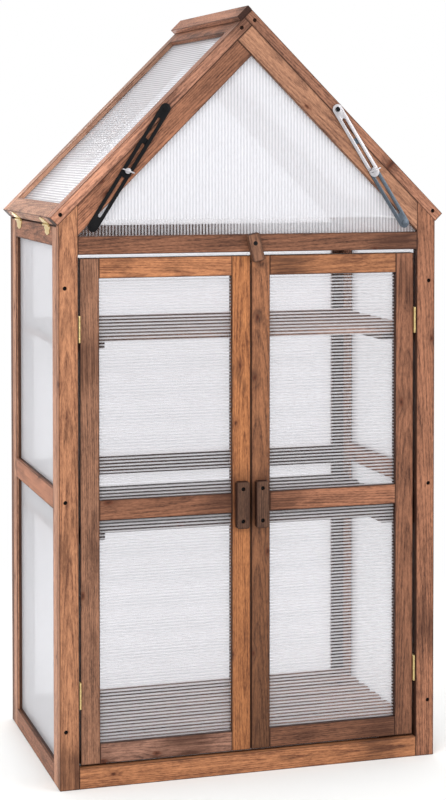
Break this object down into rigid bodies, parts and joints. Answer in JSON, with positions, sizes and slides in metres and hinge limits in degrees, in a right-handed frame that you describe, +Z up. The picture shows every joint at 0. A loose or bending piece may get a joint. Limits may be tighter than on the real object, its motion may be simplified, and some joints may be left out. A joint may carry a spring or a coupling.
{
  "type": "mini greenhouse",
  "caption": "Tall wooden mini greenhouse with two glazed doors, slatted shelves, sheet-clad walls and a steep gable roof whose halves open on slotted stays.",
  "frame": {"origin": "middle of the base, at the floor, under the middle of the whole greenhouse", "axes": "+Z up, the doors face -Y, +X to the right of someone who looks at the doors"},
  "size_m": [0.7818, 0.5, 1.4693],
  "materials": {
    "fir_honey": "planed fir, scorched and oiled, honey boards",
    "fir_brown": "planed fir, scorched and oiled, red-brown boards",
    "fir_grey": "planed fir, scorched and oiled, grey-brown boards",
    "twin_wall_sheet": "milky twin-wall polycarbonate, ribbed",
    "brass": "lacquered brass",
    "black_steel": "black painted steel",
    "blued_steel": "dark blue-grey steel",
    "zinc_steel": "bright zinc plated steel"
  },
  "bodies": {
    "cabinet": {"back_frame": "fir_brown", "back_gable_frame": "fir_brown", "back_gable_sheet": "twin_wall_sheet", "back_sheet": "twin_wall_sheet", "front_bottom_rail": "fir_honey", "front_gable_sheet": "twin_wall_sheet", "front_left_gable_rafter": "fir_brown", "front_left_post": "fir_honey", "front_right_gable_rafter": "fir_honey", "front_right_post": "fir_brown", "front_top_rail": "fir_brown", "left_door_lower_hinge": "brass", "left_door_upper_hinge": "brass", "left_roof_back_hinge": "brass", "left_roof_front_hinge": "brass", "left_side_frame": "fir_brown", "left_side_sheet": "twin_wall_sheet", "lower_shelf": "fir_grey", "middle_shelf": "fir_grey", "right_door_lower_hinge": "brass", "right_door_upper_hinge": "brass", "right_roof_back_hinge": "brass", "right_roof_front_hinge": "brass", "right_side_frame": "fir_brown", "right_side_sheet": "twin_wall_sheet", "upper_shelf": "fir_grey"},
    "left_door": {"left_door_bottom_rail": "fir_brown", "left_door_handle": "fir_grey", "left_door_hinge_stile": "fir_grey", "left_door_lower_sheet": "twin_wall_sheet", "left_door_meeting_stile": "fir_honey", "left_door_middle_rail": "fir_brown", "left_door_top_rail": "fir_honey", "left_door_upper_sheet": "twin_wall_sheet"},
    "left_roof": {"left_roof_back_rafter": "fir_honey", "left_roof_eave_rail": "fir_honey", "left_roof_front_rafter": "fir_brown", "left_roof_sheet": "twin_wall_sheet", "left_roof_top_rail": "fir_brown", "ridge_cap": "fir_brown"},
    "left_stay_lower_arm": {"left_stay_lower_arm": "black_steel"},
    "left_stay_upper_arm": {"left_stay_upper_arm": "black_steel"},
    "left_stay_wing_nut": {"left_stay_wing_nut": "zinc_steel"},
    "right_door": {"right_door_bottom_rail": "fir_brown", "right_door_handle": "fir_grey", "right_door_hinge_stile": "fir_brown", "right_door_lower_sheet": "twin_wall_sheet", "right_door_meeting_stile": "fir_grey", "right_door_middle_rail": "fir_brown", "right_door_top_rail": "fir_honey", "right_door_upper_sheet": "twin_wall_sheet"},
    "right_roof": {"right_roof_back_rafter": "fir_honey", "right_roof_eave_rail": "fir_honey", "right_roof_front_rafter": "fir_brown", "right_roof_sheet": "twin_wall_sheet", "right_roof_top_rail": "fir_brown"},
    "right_stay_lower_arm": {"right_stay_lower_arm": "blued_steel"},
    "right_stay_upper_arm": {"right_stay_upper_arm": "zinc_steel"},
    "right_stay_wing_nut": {"right_stay_wing_nut": "zinc_steel"},
    "turn_button": {"turn_button": "fir_grey"}
  },
  "joints": [
    {"name": "left_door_swing", "type": "hinge", "parent": "cabinet", "child": "left_door", "pos_m": [-0.3352, -0.23085, 0.5], "axis": [0, 0, -1], "range_deg": [0, 105]},
    {"name": "right_door_swing", "type": "hinge", "parent": "cabinet", "child": "right_door", "pos_m": [0.3352, -0.23085, 0.5], "axis": [0, 0, 1], "range_deg": [0, 105]},
    {"name": "left_roof_lift", "type": "hinge", "parent": "cabinet", "child": "left_roof", "pos_m": [-0.3778, 0, 1.053], "axis": [0, -1, 0], "range_deg": [0, 50]},
    {"name": "right_roof_lift", "type": "hinge", "parent": "cabinet", "child": "right_roof", "pos_m": [0.3778, 0, 1.053], "axis": [0, 1, 0], "range_deg": [0, 50]},
    {"name": "turn_button_turn", "type": "hinge", "parent": "cabinet", "child": "turn_button", "pos_m": [0.003, -0.23505, 1.018], "axis": [0, -1, 0], "continuous": true},
    {"name": "left_stay_swing", "type": "hinge", "parent": "cabinet", "child": "left_stay_lower_arm", "pos_m": [-0.31, -0.23505, 1.053], "axis": [0, -1, 0], "range_deg": [0, 51.5]},
    {"name": "left_stay_slide", "type": "slide", "parent": "left_stay_lower_arm", "child": "left_stay_upper_arm", "axis": [0.5341, 0, 0.8454], "range_m": [0, 0.0571]},
    {"name": "left_wing_nut_turn", "type": "hinge", "parent": "left_stay_upper_arm", "child": "left_stay_wing_nut", "pos_m": [-0.24471, -0.23505, 1.15633], "axis": [0, -1, 0], "continuous": true},
    {"name": "right_stay_swing", "type": "hinge", "parent": "cabinet", "child": "right_stay_lower_arm", "pos_m": [0.31, -0.23505, 1.053], "axis": [0, 1, 0], "range_deg": [0, 51.5]},
    {"name": "right_stay_slide", "type": "slide", "parent": "right_stay_lower_arm", "child": "right_stay_upper_arm", "axis": [-0.5341, 0, 0.8454], "range_m": [0, 0.0571]},
    {"name": "right_wing_nut_turn", "type": "hinge", "parent": "right_stay_upper_arm", "child": "right_stay_wing_nut", "pos_m": [0.24471, -0.23505, 1.15633], "axis": [0, -1, 0], "continuous": true}
  ],
  "couplings": [
    {"joint": "left_stay_swing", "follows": "left_roof_lift", "ratio": 1.0263},
    {"joint": "left_stay_slide", "follows": "left_roof_lift", "m_per_rad": 0.06523},
    {"joint": "right_stay_swing", "follows": "right_roof_lift", "ratio": 1.0263},
    {"joint": "right_stay_slide", "follows": "right_roof_lift", "m_per_rad": 0.06523}
  ]
}
